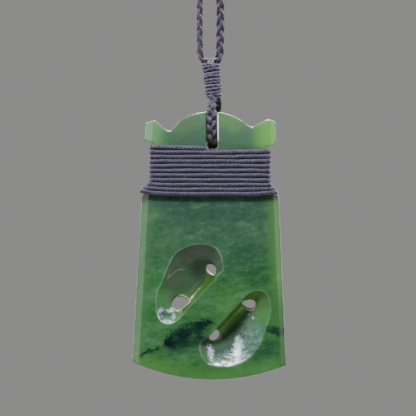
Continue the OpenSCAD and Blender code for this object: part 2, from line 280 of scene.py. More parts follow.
for side, rim in scoop_rims.items():
    rim = [carved(side, *p) for p in smooth(rim, closed=True, steps=8)]
    burr = plate("burr", rim, front_y - 2, front_y)
    bpy.ops.object.mode_set(mode="EDIT")
    bpy.ops.mesh.select_all(action="DESELECT")
    bpy.ops.object.mode_set(mode="OBJECT")
    for face in burr.data.polygons:
        face.select = all(abs(burr.data.vertices[v].co.y - front_y * mm) < 1e-6 for v in face.vertices)
    bpy.ops.object.mode_set(mode="EDIT")
    right, up = carved(side, *deepest[side])
    share, depth = 1, 0
    for step in range(1, 33):
        next_share = max(0.02, 1 - step / 32)
        next_depth = scoop_depth * (1 - next_share ** 1.7)
        bpy.ops.mesh.extrude_region_move(TRANSFORM_OT_translate={"value": (0, (next_depth - depth) * mm, 0)})
        bpy.ops.transform.resize(value=(next_share / share, 1, next_share / share),
                                 center_override=spot(right, 0, up))
        share, depth = next_share, next_depth
    bpy.ops.mesh.select_all(action="SELECT")
    bpy.ops.mesh.normals_make_consistent(inside=False)
    bpy.ops.object.mode_set(mode="OBJECT")
    cut(stone, burr)

pierced = {
    "upper_right": [(-0.8, 28.65), (0, 28.98), (0.95, 28.7), (1.5, 27.9), (1.28, 26.9), (0.95, 26.25), (-0.18, 27.4)],
    "upper_left": [(-9.5, 19.08), (-8.95, 20.35), (-7.5, 20.83), (-6.4, 20.35), (-5.13, 19.65), (-6.08, 18.6),
                   (-7.35, 17.65), (-8.3, 17.33), (-9.1, 17.98)],
    "lower_right": [(7.95, 19.35), (9.58, 20), (10.9, 19.93), (11.48, 19.18), (11.23, 18.2), (10.4, 17.88),
                    (9.1, 18.3)],
    "lower_left": [(-0.23, 10.68), (0.75, 12), (1.65, 12.65), (2.23, 12), (2.3, 11), (1.75, 10.2), (0.75, 9.8),
                   (0, 10.13)]}
# Which way the strand lies from each hole: its end there is rounded, and painted as a paler crescent of light coming
# through the thin stone
strand_way = {"upper_right": (-0.8, -0.6), "upper_left": (0.5, 0.86), "lower_right": (-0.25, -0.97),
              "lower_left": (0.9, -0.3)}
hole_edges = {name: smooth(outline, closed=True, steps=5) for name, outline in pierced.items()}
for name, outline in hole_edges.items():
    cut(stone, plate(name, outline, -10, 10))

# The drilled hole for the bail, with a groove up from it in front and a slanting one behind
bpy.ops.mesh.primitive_cylinder_add(vertices=64, radius=1.55 * mm, depth=0.02, location=spot(0.6, 0, 59),
                                    rotation=(pi / 2, 0, 0))
drill = bpy.context.object
bpy.ops.object.transform_apply(location=True, rotation=True, scale=True)
cut(stone, drill)
cut(stone, plate("front_groove", [(-0.95, 59), (1.85, 59), (1.85, 72), (-0.95, 72)], -9, front_y + 1))
cut(stone, plate("back_groove", [(-1, 59), (2.2, 59), (3.5, 70), (0.3, 70)], 1.22, 9))

# Polishing rounds every edge a little
worked(stone, "REMESH", 80000, mode="VOXEL", voxel_size=0.27 * mm, use_smooth_shade=True)
worked(stone, "SMOOTH", 80000, factor=0.5, iterations=4)

# The edges of the four holes are rounded further, as they were worn down by hand
edges = KDTree(sum(len(line) for line in hole_edges.values()))
owner = []
for name, line in hole_edges.items():
    middle_of = Vector((sum(x for x, z in line), sum(z for x, z in line))) / len(line)
    for x, z in line:
        edges.insert((x, 0, z), len(owner))
        owner.append((middle_of, Vector(strand_way[name])))
edges.balance()
scoop_line = [carved(side, *p) for side, rim in scoop_rims.items() for p in smooth(rim, closed=True, steps=12)]
brink = KDTree(len(scoop_line))
for i, (x, z) in enumerate(scoop_line):
    brink.insert((x, 0, z), i)
brink.balance()
outer = KDTree(sum(int((Vector(b) - Vector(a)).length * 6) + 1 for a, b in zip(blade_outline, blade_outline[1:])))
for a, b in zip(blade_outline, blade_outline[1:]):
    pieces = int((Vector(b) - Vector(a)).length * 6) + 1
    for i in range(pieces):
        on_line = Vector(a).lerp(Vector(b), i / pieces)
        outer.insert((on_line.x, 0, on_line.y), i)
outer.balance()
from_rim, rim_share, from_brink, from_side = [], [], [], []
for vertex in stone.data.vertices:
    x, z = vertex.co.x / mm, vertex.co.z / mm + hang
    away, share = 9, 9
    if -12 < x < 14 and 8 < z < 31:
        _, nearest, away = edges.find((x, 0, z))
        middle_of, way = owner[nearest]
        out_of = (Vector((x, z)) - middle_of).normalized()
        share = away / (0.12 + 0.75 * max(0, out_of.dot(way)) ** 3)
    from_rim.append(away)
    rim_share.append(share)
    from_brink.append(brink.find((x, 0, z))[2])
    from_side.append(outer.find((x, 0, z))[2])
near_hole = stone.vertex_groups.new(name="near_hole")
for index, away in enumerate(from_rim):
    if away < 0.9:
        near_hole.add([index], min(1, 2 * (0.9 - away)), "REPLACE")
worked(stone, "SMOOTH", 80000, factor=0.5, iterations=10, vertex_group="near_hole")
for name, values in (("rim", rim_share), ("brink", from_brink), ("side", from_side)):
    stone.data.attributes.new(name, "FLOAT", "POINT")
    stone.data.attributes[name].data.foreach_set("value", values)


# Nephrite: a green, slightly translucent stone with soft clouds that run across it, wisps of dark
# blue-green and a few pale flecks. Where it is thin it is painted yellower, as painted light coming
# through it. It is polished, but the burr has left the scoops frosted.
def put(tree, kind, feeds=(), **settings):
    """Adds a node, with its sockets fed by values or by other nodes' outputs."""
    made = tree.nodes.new(kind)
    for name, value in settings.items():
        setattr(made, name, value)
    for name, feed in dict(feeds).items():
        if isinstance(feed, bpy.types.NodeSocket):
            tree.links.new(feed, made.inputs[name])
        else:
            made.inputs[name].default_value = feed
    return made.outputs[0]


def calc(tree, operation, a, b=0.0, clamp=False):
    return put(tree, "ShaderNodeMath", {0: a, 1: b}, operation=operation, use_clamp=clamp)


def ease(tree, value, start, end, low=0.0, high=1.0):
    """Goes smoothly from low to high as the value goes from start to end."""
    return put(tree, "ShaderNodeMapRange", {"Value": value, "From Min": start, "From Max": end,
                                            "To Min": low, "To Max": high}, interpolation_type="SMOOTHSTEP")


def blend(tree, share, a, b, way="MIX"):
    made = tree.nodes.new("ShaderNodeMix")
    made.data_type = "RGBA"
    made.blend_type = way
    for socket, feed in ((made.inputs[0], share), (made.inputs[6], a), (made.inputs[7], b)):
        if isinstance(feed, bpy.types.NodeSocket):
            tree.links.new(feed, socket)
        else:
            socket.default_value = (*feed, 1) if isinstance(feed, tuple) else feed
    return made.outputs[2]


def noise(tree, place, scale, detail=3.0, rough=0.55, distortion=0.0):
    return put(tree, "ShaderNodeTexNoise", {"Vector": place, "Scale": scale, "Detail": detail,
                                            "Roughness": rough, "Distortion": distortion})


def turned(tree, place, centre, size, angle=0.0):
    """The place seen from a spot, stretched by a size and turned in the plane of the face."""
    moved = put(tree, "ShaderNodeVectorMath", {0: place, 1: centre}, operation="SUBTRACT")
    moved = put(tree, "ShaderNodeVectorRotate", {"Vector": moved, "Angle": radians(angle)},
                rotation_type="Y_AXIS")
    return put(tree, "ShaderNodeVectorMath", {0: moved, 1: size}, operation="DIVIDE")


def length(tree, place):
    made = tree.nodes.new("ShaderNodeVectorMath")
    made.operation = "LENGTH"
    tree.links.new(place, made.inputs[0])
    return made.outputs["Value"]


nephrite = bpy.data.materials.new("nephrite")
nephrite.use_nodes = True
tree = nephrite.node_tree
shader = tree.nodes["Principled BSDF"]
# Places in millimetres, from the lowest point of the cutting edge
place = put(tree, "ShaderNodeMapping", {"Vector": tree.nodes.new("ShaderNodeTexCoord").outputs["Object"],
                                        "Location": (0, 0, hang), "Scale": (1000, 1000, 1000)})
across_up = tree.nodes.new("ShaderNodeSeparateXYZ")
tree.links.new(place, across_up.inputs[0])
x, y, z = across_up.outputs

# From the yellower cutting edge, through the green middle, to the bluer neck, with a painted shadow in a darker band
# just below the lashing, and to the crest, painted paler where it catches the light
ramp = tree.nodes.new("ShaderNodeValToRGB")
tree.links.new(calc(tree, "DIVIDE", z, crest), ramp.inputs[0])
heights = [(0, (0.062, 0.17, 0.052)), (5, (0.054, 0.152, 0.050)), (17, (0.047, 0.147, 0.050)),
           (26, (0.055, 0.137, 0.064)), (35, (0.064, 0.132, 0.086)), (44, (0.062, 0.105, 0.096)),
           (47.5, (0.05, 0.08, 0.078)), (58, (0.085, 0.122, 0.105)), (66, (0.145, 0.235, 0.17))]
while len(ramp.color_ramp.elements) < len(heights):
    ramp.color_ramp.elements.new(0.5)
for stop, (height, colour) in zip(ramp.color_ramp.elements, heights):
    stop.position = height / crest
    stop.color = (*colour, 1)
colour = ramp.outputs[0]

# The stone's larger clouds: middle, half-lengths, turn, colour and strength
stir = tree.nodes.new("ShaderNodeTexNoise")
tree.links.new(turned(tree, place, (0, 0, 0), (9, 9, 6), 8), stir.inputs["Vector"])
stir.inputs["Detail"].default_value = 5
stir.inputs["Roughness"].default_value = 0.62
stirred = put(tree, "ShaderNodeVectorMath", {0: stir.outputs["Color"], 1: (0.5, 0.5, 0.5)}, operation="SUBTRACT")
stirred_little = put(tree, "ShaderNodeVectorMath", {0: stirred, 1: (1.6, 0, 1.6)}, operation="MULTIPLY")
stirred_little = put(tree, "ShaderNodeVectorMath", {0: place, 1: stirred_little}, operation="ADD")
stirred = put(tree, "ShaderNodeVectorMath", {0: stirred, 1: (9, 2, 5)}, operation="MULTIPLY")
stirred = put(tree, "ShaderNodeVectorMath", {0: place, 1: stirred}, operation="ADD")
yellow_green, blue_green, leaf_green = (0.068, 0.19, 0.052), (0.022, 0.068, 0.046), (0.05, 0.17, 0.045)
for middle, size, angle, tint, strength in (
        ((5.5, 0, 21.5), (7, 9, 3.6), 42, yellow_green, 0.55), ((-13.5, 0, 24), (4, 9, 9), 80, leaf_green, 0.35),
        ((8, 0, 31), (7.5, 9, 4.5), 5, blue_green, 0.55), ((-3, 0, 42.5), (9, 9, 3), 0, blue_green, 0.45),
        ((10, 0, 41.5), (6, 9, 2.5), -5, blue_green, 0.4), ((-13, 0, 38), (5, 9, 6), 10, (0.075, 0.165, 0.085), 0.45),
        ((4.6, 0, 17.8), (4, 9, 4), 40, (0.11, 0.25, 0.085), 0.6), ((12.5, 0, 21.6), (3, 9, 2), 20, (0.1, 0.235, 0.07), 0.6),
        ((-14.5, 0, 3.4), (5, 9, 2.4), -10, (0.13, 0.27, 0.09), 0.6), ((17.4, 0, 9), (3, 9, 5), 0, (0.025, 0.11, 0.026), 0.7),
        ((-5.5, 0, 63.8), (3.6, 9, 2.6), 20, (0.14, 0.19, 0.09), 0.6), ((5, 0, 64.6), (4.5, 9, 2.6), -20, (0.19, 0.3, 0.12), 0.75),
        ((-2.6, 0, 61), (3, 9, 2.6), 30, (0.07, 0.15, 0.125), 0.6), ((8, 0, 60.5), (5, 9, 2.4), 0, (0.1, 0.19, 0.135), 0.35),
        ((-10, 0, 60.5), (3, 9, 1.6), 0, (0.09, 0.17, 0.11), 0.5), ((-8, 0, 5), (8, 9, 2), -6, yellow_green, 0.8),
        ((-13.6, 0, 21.2), (2.6, 9, 3), 10, (0.12, 0.22, 0.14), 0.55), ((14, 0, 7), (4.5, 9, 2.8), 14, blue_green, 0.7),
        ((13, 0, 25), (4.5, 9, 6), 0, (0.018, 0.075, 0.02), 0.7), ((-14.5, 0, 12.5), (3, 9, 3), 20, (0.075, 0.17, 0.09), 0.4),
        ((-5, 0, 8.3), (8, 9, 2.6), 12, blue_green, 0.65)):
    off = length(tree, turned(tree, stirred, middle, size, angle))
    colour = blend(tree, ease(tree, off, 1.3, 0.35, 0, strength), colour, tint)

# Clouds drawn out across the blade, and finer streaks and mottling among them
clouds = noise(tree, turned(tree, place, (0, 0, 0), (9, 9, 3.6), 6), 1, 6, 0.66, 0.5)
plain = ease(tree, z, 57, 55, 0.4, 1)
colour = blend(tree, calc(tree, "MULTIPLY", ease(tree, clouds, 0.48, 0.72, 0, 0.65), plain), colour, (0.115, 0.235, 0.125))
colour = blend(tree, calc(tree, "MULTIPLY", ease(tree, clouds, 0.48, 0.28, 0, 0.6), plain), colour, (0.022, 0.08, 0.04))
streaks = noise(tree, turned(tree, place, (3, 0, 5), (4.5, 3, 0.75), 4), 1, 5, 0.65, 0.9)
calm = calc(tree, "MULTIPLY", ease(tree, z, 40, 27, 0.3, 1), plain)
colour = blend(tree, calc(tree, "MULTIPLY", ease(tree, streaks, 0.45, 0.75, 0, 0.42), calm), colour,
               (0.12, 0.245, 0.135))
colour = blend(tree, calc(tree, "MULTIPLY", ease(tree, streaks, 0.45, 0.25, 0, 0.55), calm), colour,
               (0.018, 0.075, 0.032))
mottle = noise(tree, turned(tree, place, (0, 0, 0), (1.5, 1.3, 1), 20), 1, 5, 0.72)
soft = ease(tree, z, 58, 56, 0.25, 1)
colour = blend(tree, calc(tree, "MULTIPLY", ease(tree, mottle, 0.5, 0.32, 0, 0.5), soft), colour, (0.02, 0.08, 0.036))
colour = blend(tree, ease(tree, mottle, 0.54, 0.74, 0, 0.55), colour, (0.14, 0.27, 0.16))

# Light gets in at the margins
right_margin = calc(tree, "ADD", x, calc(tree, "MULTIPLY", z, -right_slope))
left_margin = calc(tree, "ADD", x, calc(tree, "MULTIPLY", z, -left_slope))
by_height = calc(tree, "MULTIPLY", ease(tree, z, 12, 28, 0.08, 0.75), ease(tree, y, 0, -2.2, 0.35, 1))
colour = blend(tree, ease(tree, right_margin, right_foot - 4.6, right_foot - 1, 0, by_height), colour,
               (0.11, 0.235, 0.065))
colour = blend(tree, ease(tree, left_margin, left_foot + 4.5, left_foot + 1.6, 0, 0.45), colour,
               (0.1, 0.22, 0.095))
from_arc = put(tree, "ShaderNodeCombineXYZ", {0: calc(tree, "SUBTRACT", x, 0.7), 1: 0.0,
                                              2: calc(tree, "SUBTRACT", z, edge_r)})
reach = length(tree, from_arc)
colour = blend(tree, ease(tree, reach, edge_r - 4.5, edge_r - 0.8, 0, 0.55), colour, (0.09, 0.23, 0.06))
ear = calc(tree, "MULTIPLY", ease(tree, x, 9, 14.5), ease(tree, z, 56, 60))
colour = blend(tree, calc(tree, "MULTIPLY", ear, 0.85), colour, (0.235, 0.47, 0.12))
ear = calc(tree, "MULTIPLY", ease(tree, x, -10, -14.5), ease(tree, z, 56, 60))
colour = blend(tree, calc(tree, "MULTIPLY", ear, 0.7), colour, (0.21, 0.42, 0.2))

# Painted shade: the lower part of the right bevel is painted darker, against the pale reflection it takes
lower_right = calc(tree, "MULTIPLY", ease(tree, right_margin, right_foot - 1.7, right_foot - 1.5), ease(tree, z, 27, 14, 0, 0.9))
lower_right = calc(tree, "MULTIPLY", lower_right, ease(tree, y, -2.2, -2.5))
colour = blend(tree, lower_right, colour, (0.008, 0.115, 0.003))

# The depth of the stone takes red and blue out of the light
colour = blend(tree, 1.0, colour, (0.405, 0.52, 0.43), "MULTIPLY")

# Wisps of nearly black stone, with green left between their fibres
fray = tree.nodes.new("ShaderNodeTexNoise")
tree.links.new(turned(tree, place, (7, 0, 2), (3.2, 3, 1.7), 20), fray.inputs["Vector"])
fray.inputs["Detail"].default_value = 8
fray.inputs["Roughness"].default_value = 0.74
frayed = put(tree, "ShaderNodeVectorMath", {0: fray.outputs["Color"], 1: (0.5, 0.5, 0.5)}, operation="SUBTRACT")
frayed = put(tree, "ShaderNodeVectorMath", {0: frayed, 1: (6, 1, 4.6)}, operation="MULTIPLY")
frayed = put(tree, "ShaderNodeVectorMath", {0: place, 1: frayed}, operation="ADD")
fibres = noise(tree, turned(tree, frayed, (1, 0, 4), (1.9, 2, 0.8), 20), 1, 6, 0.75, 0.3)
for middle, size, angle, dark, between in (
        ((-5.6, 0, 10.8), (7, 6, 3.4), 24, 0.76, 0.35), ((1.5, 0, 9), (6, 6, 3.4), 20, 0.35, 0.3),
        ((-8.4, 0, 10.6), (4.2, 6, 2.6), 36, 1, 0.65), ((-4.2, 0, 13), (5, 6, 2.4), 14, 0.95, 0.25),
        ((-1.8, 0, 14.2), (3.8, 6, 1.1), 8, 1, 0.75), ((-10.3, 0, 9.4), (2.2, 6, 1.5), 30, 1, 0.85),
        ((-3, 0, 10.2), (3.4, 6, 1.6), 20, 0.7, 0.3),
        ((-14.6, 0, 7.5), (3.6, 6, 0.7), 20, 1, 0.4), ((-17, 0, 6.2), (1.5, 6, 0.55), 30, 1, 0.5),
        ((16.8, 0, 12.3), (3.8, 6, 1.3), -12, 1, 0.6), ((15.4, 0, 9), (3.2, 6, 1.2), -8, 0.45, 0.3),
        ((3.7, 0, 24.9), (2.1, 4, 0.8), -8, 0.85, 0.3), ((5.3, 0, 13.3), (1.2, 4, 1), 30, 0.6, 0.4)):
    off = length(tree, turned(tree, frayed, middle, size, angle))
    dark_here = calc(tree, "MULTIPLY", ease(tree, off, 1.2, 0.7, 0, dark), ease(tree, fibres, 0.56, 0.46, between, 1))
    colour = blend(tree, dark_here, colour, (0.0006, 0.008, 0.008))
for middle, size, dark in (((16.15, 0, 23.3), 0.3, 0.9), ((10.6, 0, 30.1), 0.22, 0.5), ((-13.4, 0, 29), 0.2, 0.35)):
    off = length(tree, turned(tree, place, middle, (size, 3, size * 0.8)))
    colour = blend(tree, ease(tree, off, 1.2, 0.6, 0, dark), colour, (0.004, 0.02, 0.012))

# Pale flecks
for middle, size, pale in (
        ((-4.8, 0, 35.7), (1.7, 3, 0.75), 0.75), ((-2.1, 0, 37.2), (1.3, 3, 0.7), 0.5),
        ((7.6, 0, 39.1), (2.4, 3, 0.7), 0.6), ((2.3, 0, 37.6), (0.7, 3, 0.5), 0.5),
        ((11, 0, 37.7), (1, 3, 0.6), 0.45), ((-13.8, 0, 41), (1.8, 3, 1.6), 0.4)):
    off = length(tree, turned(tree, frayed, middle, size, 8))
    colour = blend(tree, ease(tree, off, 1.6, 0.4, 0, pale), colour, (0.14, 0.25, 0.115))

# In the scoops the colour is a little darker, with patches of painted shade and painted reflection, and the thin
# strands beside the band are painted olive
band_frame = turned(tree, place, (band_at[0], 0, band_at[1]), (1, 1, 1), 47.5)
split = tree.nodes.new("ShaderNodeSeparateXYZ")
tree.links.new(band_frame, split.inputs[0])
from_band = calc(tree, "SUBTRACT", calc(tree, "ABSOLUTE", split.outputs[2]), band_half)
carving = put(tree, "ShaderNodeVectorMath", {0: band_frame, 1: (14, 20, 17.5)}, operation="DIVIDE")
in_scoop = calc(tree, "MULTIPLY", ease(tree, length(tree, carving), 1.1, 1), ease(tree, y, -3.57, -3.4))
in_scoop = calc(tree, "MULTIPLY", in_scoop, ease(tree, y, 2, 1.3))
from_back = calc(tree, "ADD", y, calc(tree, "MULTIPLY", calc(tree, "SUBTRACT", reach, edge_r), 6.35 / 11))
in_scoop = calc(tree, "MULTIPLY", in_scoop, ease(tree, from_back, -3, -3.3))
colour = blend(tree, calc(tree, "MULTIPLY", in_scoop, 0.3), colour, (0.014, 0.04, 0.016))
# Painted shade in dark green patches where the bowls are in shade, and a painted reflection in the two grey-brown
# patches of the upper-left scoop
for middle, size, angle, tint, strength in (
        ((-2.4, 0, 27.4), (3.2, 9, 3), 30, (0.003, 0.026, 0.006), 0.9), ((-6, 0, 23), (3.5, 9, 2.4), 40, (0.006, 0.044, 0.01), 0.8),
        ((-12.4, 0, 21), (2.6, 9, 5.4), -20, (0.016, 0.1, 0.016), 0.9), ((-8, 0, 26), (3, 9, 2.4), 40, (0.01, 0.05, 0.01), 0.7),
        ((-8, 0, 21.6), (3, 9, 2), 45, (0.004, 0.05, 0.004), 0.8), ((-11.2, 0, 16.2), (1, 9, 1.1), 0, (0.02, 0.09, 0.05), 0.9),
        ((6.4, 0, 11), (5, 9, 2.6), 35, (0.002, 0.03, 0.012), 0.95), ((13.4, 0, 17.5), (2.6, 9, 5), 20, (0.018, 0.1, 0.008), 0.8),
        ((11, 0, 21), (3, 9, 2.4), 20, (0.04, 0.12, 0.01), 0.8), ((10, 0, 9), (5, 9, 3), 45, (0.002, 0.04, 0.02), 0.8),
        ((3.6, 0, 6.8), (3.4, 9, 1.8), 0, (0.002, 0.022, 0.014), 1), ((13.2, 0, 12), (2.4, 9, 3), 0, (0.004, 0.07, 0.03), 0.8),
        ((-4.2, 0, 31.6), (4.8, 9, 1.9), 15, (0.066, 0.076, 0.052), 0.7), ((-9.2, 0, 25), (3, 9, 2.6), 45, (0.036, 0.05, 0.03), 0.6)):
    off = length(tree, turned(tree, frayed, middle, size, angle))
    colour = blend(tree, calc(tree, "MULTIPLY", in_scoop, ease(tree, off, 1.3, 0.4, 0, strength)), colour, tint)
left_off = turned(tree, stirred_little, (-6, 0, 20.4), (1, 1, 1))
arc = calc(tree, "ABSOLUTE", calc(tree, "SUBTRACT", length(tree, left_off), 7.4))
arc = calc(tree, "MULTIPLY", ease(tree, arc, 0.2, 0.06, 0, 0.55), ease(tree, z, 24.5, 26.5))
arc = calc(tree, "MULTIPLY", arc, ease(tree, x, -5.6, -7.4))
colour = blend(tree, calc(tree, "MULTIPLY", arc, in_scoop), colour, (0.17, 0.21, 0.16))
# Painted light: the thin strands beside the band are painted olive and brighter, as light coming through the thin
# stone, more so below the band
between = calc(tree, "ABSOLUTE", calc(tree, "SUBTRACT", split.outputs[0], half_turn_at))
thin = calc(tree, "MULTIPLY", ease(tree, from_band, 3.4, 1.2), calc(tree, "MULTIPLY", in_scoop, ease(tree, between, 7.4, 5.6)))
glow = blend(tree, ease(tree, split.outputs[2], -0.5, 0.5), (0.05, 0.19, 0.01), (0.016, 0.06, 0.001))
colour = blend(tree, calc(tree, "MULTIPLY", thin, 0.85), colour, glow)
# Painted highlight: a thin pale line along the rims of the scoops
brink = tree.nodes.new("ShaderNodeAttribute")
brink.attribute_name = "brink"
line = calc(tree, "MULTIPLY", ease(tree, brink.outputs["Fac"], 0.34, 0.06), ease(tree, y, -3, -3.3))
line = calc(tree, "MULTIPLY", line, ease(tree, clouds, 0.4, 0.6, 0.05, 0.27))
colour = blend(tree, line, colour, (0.13, 0.27, 0.16))

# The burr has left scratches round each bowl, and a white frost at its lower end. Its pale streaks are also painted
# highlights of the soft box above, and are glossier so that they catch it too
marks = None
for side, (u, n) in deepest.items():
    right, up = carved(side, u, n)
    bowl = put(tree, "ShaderNodeVectorMath", {0: place, 1: (right, 0, up)}, operation="SUBTRACT")
    parts = tree.nodes.new("ShaderNodeSeparateXYZ")
    tree.links.new(bowl, parts.inputs[0])
    round_it = calc(tree, "ARCTAN2", parts.outputs[2], parts.outputs[0])
    out_from = length(tree, put(tree, "ShaderNodeCombineXYZ", {0: parts.outputs[0], 1: 0.0, 2: parts.outputs[2]}))
    polar = put(tree, "ShaderNodeCombineXYZ", {0: calc(tree, "MULTIPLY", round_it, 5.0),
                                               1: calc(tree, "MULTIPLY", out_from, 1.7), 2: 3.0 * side})
    here = calc(tree, "GREATER_THAN", calc(tree, "MULTIPLY", split.outputs[2], side), 0.0)
    one = calc(tree, "MULTIPLY", noise(tree, polar, 1, 6, 0.75, 0.5), here)
    marks = one if marks is None else calc(tree, "ADD", marks, one)
tear = tree.nodes.new("ShaderNodeTexNoise")
tree.links.new(turned(tree, place, (0, 0, 0), (1.5, 1.5, 1.5), 0), tear.inputs["Vector"])
tear.inputs["Detail"].default_value = 4
ragged = put(tree, "ShaderNodeVectorMath", {0: tear.outputs["Color"], 1: (0.5, 0.5, 0.5)}, operation="SUBTRACT")
ragged = put(tree, "ShaderNodeVectorMath", {0: ragged, 1: (3.4, 0, 2.6)}, operation="MULTIPLY")
ragged = put(tree, "ShaderNodeVectorMath", {0: place, 1: ragged}, operation="ADD")
frost_and_highlight = calc(tree, "MULTIPLY", in_scoop, 0.0)
for middle, size, angle, strength in (
        ((7, 0, 7.4), (1.3, 9, 3.6), -6, 0.9), ((8.6, 0, 4.8), (2.6, 9, 1.3), 20, 1.1), ((4, 0, 4), (5.5, 9, 0.8), 3, 1.5),
        ((0.1, 0, 6.9), (0.6, 9, 2.4), 12, 1.8), ((6, 0, 5.6), (6, 9, 2), 10, 0.36), ((11, 0, 10.5), (3.4, 9, 4), 40, 0.16),
        ((-12.6, 0, 16.4), (0.8, 9, 1.8), -20, 1.7), ((-10.8, 0, 14.4), (2.2, 9, 0.7), -8, 1.7),
        ((-9.8, 0, 17.4), (1.9, 9, 0.6), 12, 1.2), ((-9.3, 0, 15.6), (0.6, 9, 1), 0, 0.8),
        ((10.9, 0, 15.6), (0.35, 9, 0.5), 0, 0.8), ((9.7, 0, 16.2), (0.3, 9, 0.3), 0, 0.6)):
    off = length(tree, turned(tree, ragged, middle, size, angle))
    frost_and_highlight = calc(tree, "MAXIMUM", frost_and_highlight, ease(tree, off, 1.3, 0.45, 0, strength))
streaked = ease(tree, marks, 0.4, 0.62, 0.02, 1)
frost_and_highlight = calc(tree, "MULTIPLY", frost_and_highlight, streaked, clamp=True)
# Painted highlights: the brightest streaks, where the lower walls of the bowls mirror the soft box above
for middle, size, angle in (((7.2, 0, 6.9), (0.75, 9, 3), -8), ((8.6, 0, 4.6), (1.6, 9, 0.7), 20), ((0, 0, 7.2), (0.35, 9, 1.6), 12)):
    off = length(tree, turned(tree, ragged, middle, size, angle))
    frost_and_highlight = calc(tree, "MAXIMUM", frost_and_highlight, ease(tree, off, 1.2, 0.4, 0, 0.9))
frost_and_highlight = calc(tree, "MULTIPLY", frost_and_highlight, in_scoop)
colour = blend(tree, calc(tree, "MULTIPLY", frost_and_highlight, 0.9), colour, (0.38, 0.47, 0.55))
# Painted light: the strand ends at the holes are painted as pale crescents, as light coming through the thin stone
rim = tree.nodes.new("ShaderNodeAttribute")
rim.attribute_name = "rim"
crescent_light = calc(tree, "MULTIPLY", ease(tree, rim.outputs["Fac"], 1.1, 0.4), in_scoop)
colour = blend(tree, calc(tree, "MULTIPLY", crescent_light, 0.8), colour, (0.36, 0.37, 0.24))

# It is painted dark inside the hole for the bail, as its shade, and the right wall of the bail's groove has a painted
# highlight
into_hole = put(tree, "ShaderNodeVectorMath", {0: place, 1: (0.6, 0, 59)}, operation="SUBTRACT")
into_hole = length(tree, put(tree, "ShaderNodeVectorMath", {0: into_hole, 1: (1, 0, 1)}, operation="MULTIPLY"))
into_hole = calc(tree, "MULTIPLY", ease(tree, into_hole, 2.1, 1.8), ease(tree, y, -3.5, -3.1))
into_hole = calc(tree, "MULTIPLY", into_hole, ease(tree, z, 59.6, 58.8))
colour = blend(tree, into_hole, colour, (0.002, 0.005, 0.003))
groove_highlight = calc(tree, "MULTIPLY", ease(tree, calc(tree, "ABSOLUTE", calc(tree, "SUBTRACT", x, 1.92)), 0.26, 0.12),
           calc(tree, "MULTIPLY", ease(tree, z, 59.2, 60), ease(tree, z, 67, 66)))
groove_highlight = calc(tree, "MULTIPLY", groove_highlight, ease(tree, y, -2.4, -2.7))
colour = blend(tree, calc(tree, "MULTIPLY", groove_highlight, 0.9), colour, (0.88, 0.9, 0.74))

# Painted light: light coming through the thin edges of the crest and sides, and a pale line of light along the rounded
# chamfer of the cutting edge
side = tree.nodes.new("ShaderNodeAttribute")
side.attribute_name = "side"
lit_edge = calc(tree, "MULTIPLY", ease(tree, side.outputs["Fac"], 0.3, 0.05), ease(tree, z, 3, 12, 0.3, 0.5))
lit_edge = calc(tree, "MULTIPLY", lit_edge, ease(tree, z, 58, 60, 1, 0.5))
bevel_end = calc(tree, "MULTIPLY", ease(tree, x, -5, 5, -1.6, -2.5), ease(tree, z, 59, 60.5, 1, 1.35))
lit_edge = calc(tree, "MULTIPLY", lit_edge, ease(tree, calc(tree, "SUBTRACT", y, bevel_end), 0.2, -0.05))
colour = blend(tree, lit_edge, colour, (0.24, 0.25, 0.1))
lit_chamfer = ease(tree, reach, edge_r - 0.33, edge_r - 0.05)
colour = blend(tree, calc(tree, "MULTIPLY", lit_chamfer, 0.7), colour, (0.22, 0.2, 0.07))
tree.links.new(colour, shader.inputs["Base Color"])

smears = noise(tree, place, 0.12, 3)
polish = ease(tree, smears, 0.3, 0.7, 0.07, 0.14)
burred = calc(tree, "MULTIPLY", ease(tree, frost_and_highlight, 0, 0.6, 0.95, 0.17), ease(tree, thin, 0, 1, 1, 0.36))
rough = tree.nodes.new("ShaderNodeMix")
for socket, feed in ((rough.inputs[0], in_scoop), (rough.inputs[2], polish), (rough.inputs[3], burred)):
    tree.links.new(feed, socket)
tree.links.new(rough.outputs[0], shader.inputs["Roughness"])
facets = noise(tree, turned(tree, place, (4, 0, 1), (2.6, 2.6, 1.8), 45), 1, 2, 0.5, 0.6)
frost_height = calc(tree, "ADD", calc(tree, "MULTIPLY", marks, 0.085), calc(tree, "MULTIPLY", facets, 0.1))
height = calc(tree, "MULTIPLY", frost_height, in_scoop)
height = calc(tree, "ADD", height, calc(tree, "MULTIPLY", noise(tree, place, 0.35, 2), 0.01))
bump = put(tree, "ShaderNodeBump", {"Strength": 1.0, "Distance": mm, "Height": height})
tree.links.new(bump, shader.inputs["Normal"])
shader.inputs["IOR"].default_value = 1.61
shader.inputs["Subsurface Weight"].default_value = 0.12
shader.inputs["Subsurface Radius"].default_value = (0.8, 1.6, 0.9)
shader.inputs["Subsurface Scale"].default_value = mm
stone.data.materials.append(nephrite)
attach(stone, "root")
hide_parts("stone")


# The lashing: one length of waxed thread, three plies laid together, wound ten times round the neck
# of the blade with its last half turn tucked in above the others.
def evenly(points, step):
    """The same run with its points a step apart."""
    run, due = [points[0]], step
    for a, b in zip(points, points[1:]):
        length = (b - a).length
        while due <= length:
            run.append(a.lerp(b, due / length))
            due += step
        due -= length
    if (run[-1] - points[-1]).length > step * 0.4:
        run.append(points[-1])
    return run


